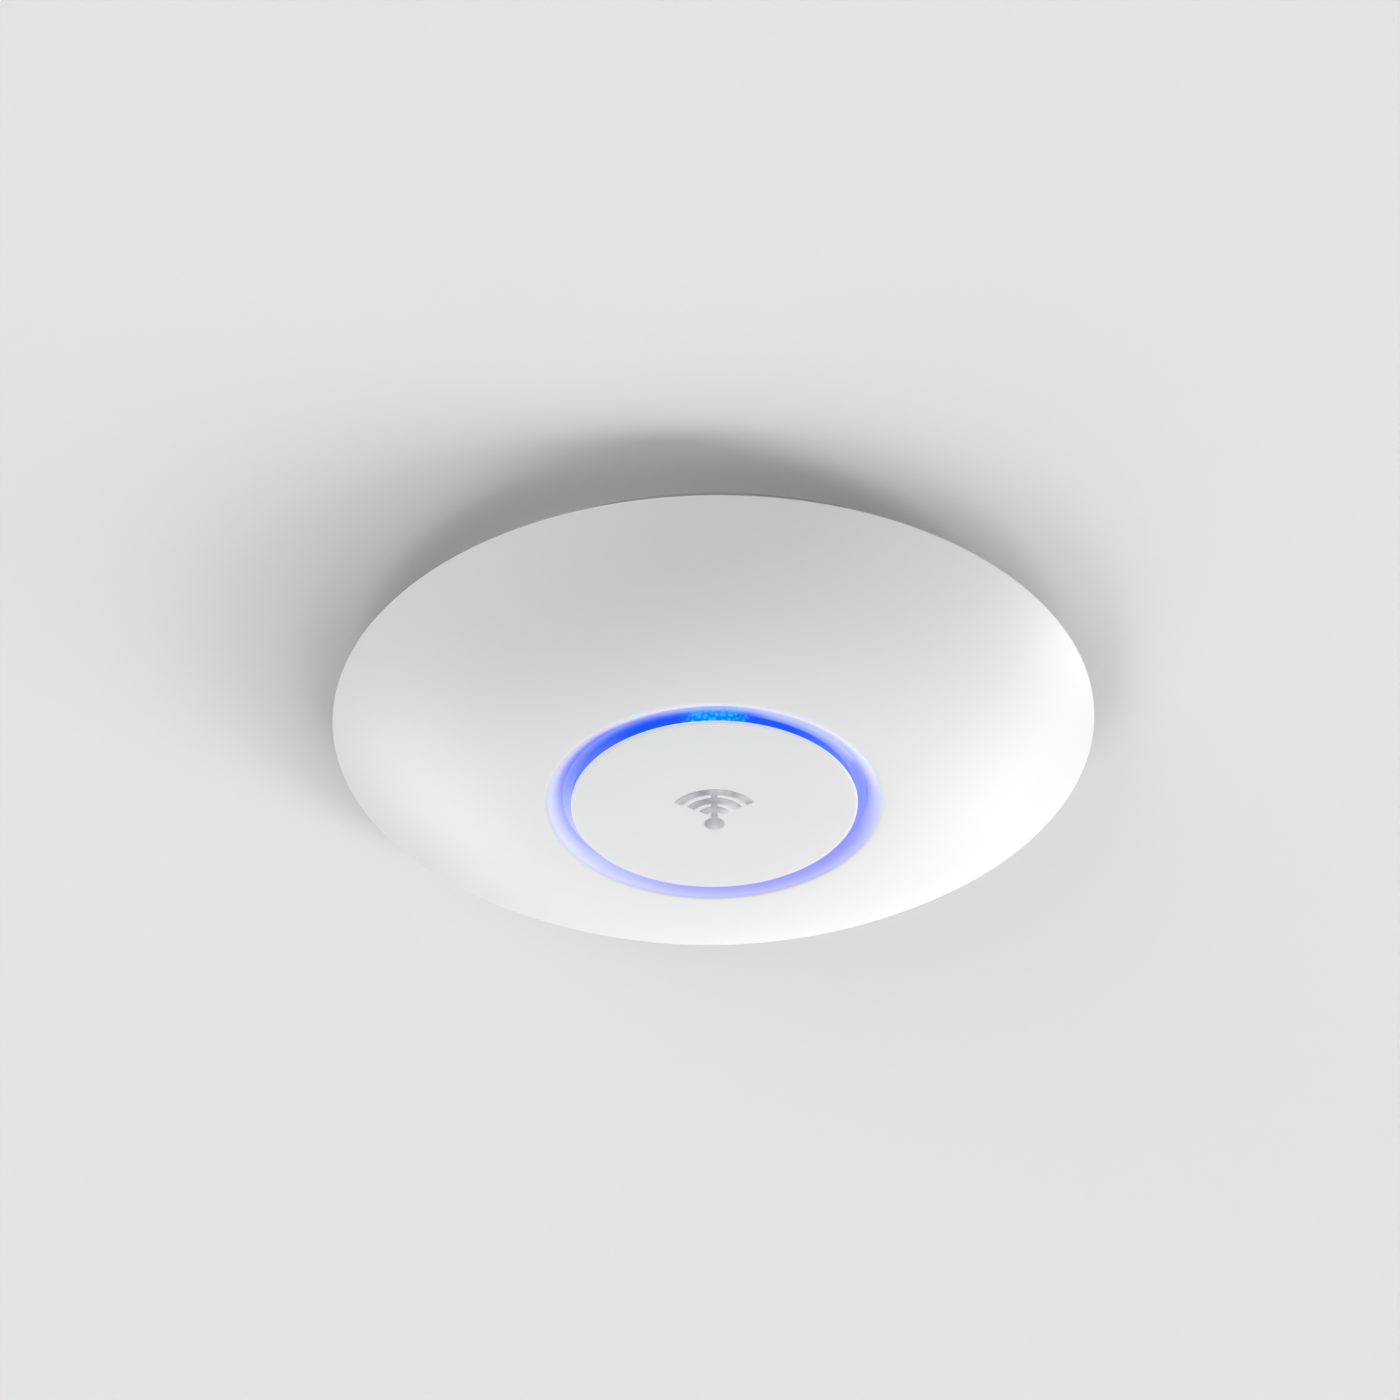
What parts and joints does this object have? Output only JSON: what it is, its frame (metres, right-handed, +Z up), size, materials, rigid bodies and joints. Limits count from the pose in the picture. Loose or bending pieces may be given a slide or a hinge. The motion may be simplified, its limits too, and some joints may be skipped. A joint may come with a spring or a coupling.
{
  "type": "ceiling access point",
  "caption": "Round dish-shaped wireless access point with a blue light ring, twist-locked to a screw-on ceiling plate, with network jacks in a port well at its back.",
  "frame": {"origin": "centre of the ceiling plate's flat face, where it meets the ceiling", "axes": "+Z up into the ceiling, +Y towards the cable exit, the dish hangs towards -Z"},
  "size_m": [0.1968, 0.1968, 0.035],
  "materials": {
    "cover": "satin",
    "housing": "matte",
    "plate": "matte",
    "lever": "matte",
    "guide": "lit from behind",
    "foil": "satin foil",
    "aluminium": "satin",
    "steel": "satin",
    "brass": "bright",
    "bronze": "satin",
    "board": "satin",
    "light_board": "satin",
    "chip": "matte",
    "graphite": "satin",
    "pad": "matte",
    "led": "clear",
    "label": "matte"
  },
  "bodies": {
    "ceiling_plate": {"mounting_plate": "plate"},
    "lock": {"lock_lever": "lever"},
    "device": {"antenna_1": "bronze", "antenna_2": "bronze", "antenna_3": "bronze", "antenna_lead_1": "chip", "antenna_lead_2": "chip", "antenna_lead_3": "chip", "antenna_plug_1": "brass", "antenna_plug_2": "brass", "antenna_plug_3": "brass", "back_housing": "housing", "board_screw_1": "steel", "board_screw_2": "steel", "board_screw_3": "steel", "board_screw_4": "steel", "capacitor_1": "graphite", "capacitor_2": "graphite", "centre_cap": "cover", "dome_cover": "cover", "emblem": "foil", "flash_chip": "chip", "heat_plate": "aluminium", "heat_sink": "aluminium", "housing_screw_1": "steel", "housing_screw_2": "steel", "housing_screw_3": "steel", "housing_screw_4": "steel", "jack_contacts_1": "brass", "jack_contacts_2": "brass", "led_1": "led", "led_2": "led", "led_3": "led", "led_4": "led", "led_board": "light_board", "light_guide": "guide", "line_transformer_1": "chip", "line_transformer_2": "chip", "main_board": "board", "memory_chip": "chip", "network_jack_1": "graphite", "network_jack_2": "graphite", "power_inductor": "graphite", "power_transformer": "graphite", "processor": "chip", "radio_shield_1": "steel", "radio_shield_2": "steel", "rating_label": "label", "reset_switch": "graphite", "standoff_1": "brass", "standoff_2": "brass", "standoff_3": "brass", "standoff_4": "brass", "thermal_pad": "pad"},
    "reset": {"reset_button": "lever"}
  },
  "joints": [
    {"name": "twist", "type": "hinge", "parent": "ceiling_plate", "child": "device", "pos_m": [0, 0, -0.004], "axis": [0, 0, 1], "range_deg": [-22, 0]},
    {"name": "lock_lever_turn", "type": "hinge", "parent": "ceiling_plate", "child": "lock", "pos_m": [-0.025, -0.0495, -0.0017], "axis": [0, 0, 1], "range_deg": [0, 4.5]},
    {"name": "reset_press", "type": "slide", "parent": "device", "child": "reset", "axis": [0, -1, 0], "range_m": [0, 0.0006], "stiffness_N_per_m": 1500}
  ],
  "couplings": [
    {"joint": "lock_lever_turn", "follows": "twist", "ratio": -0.19545}
  ]
}
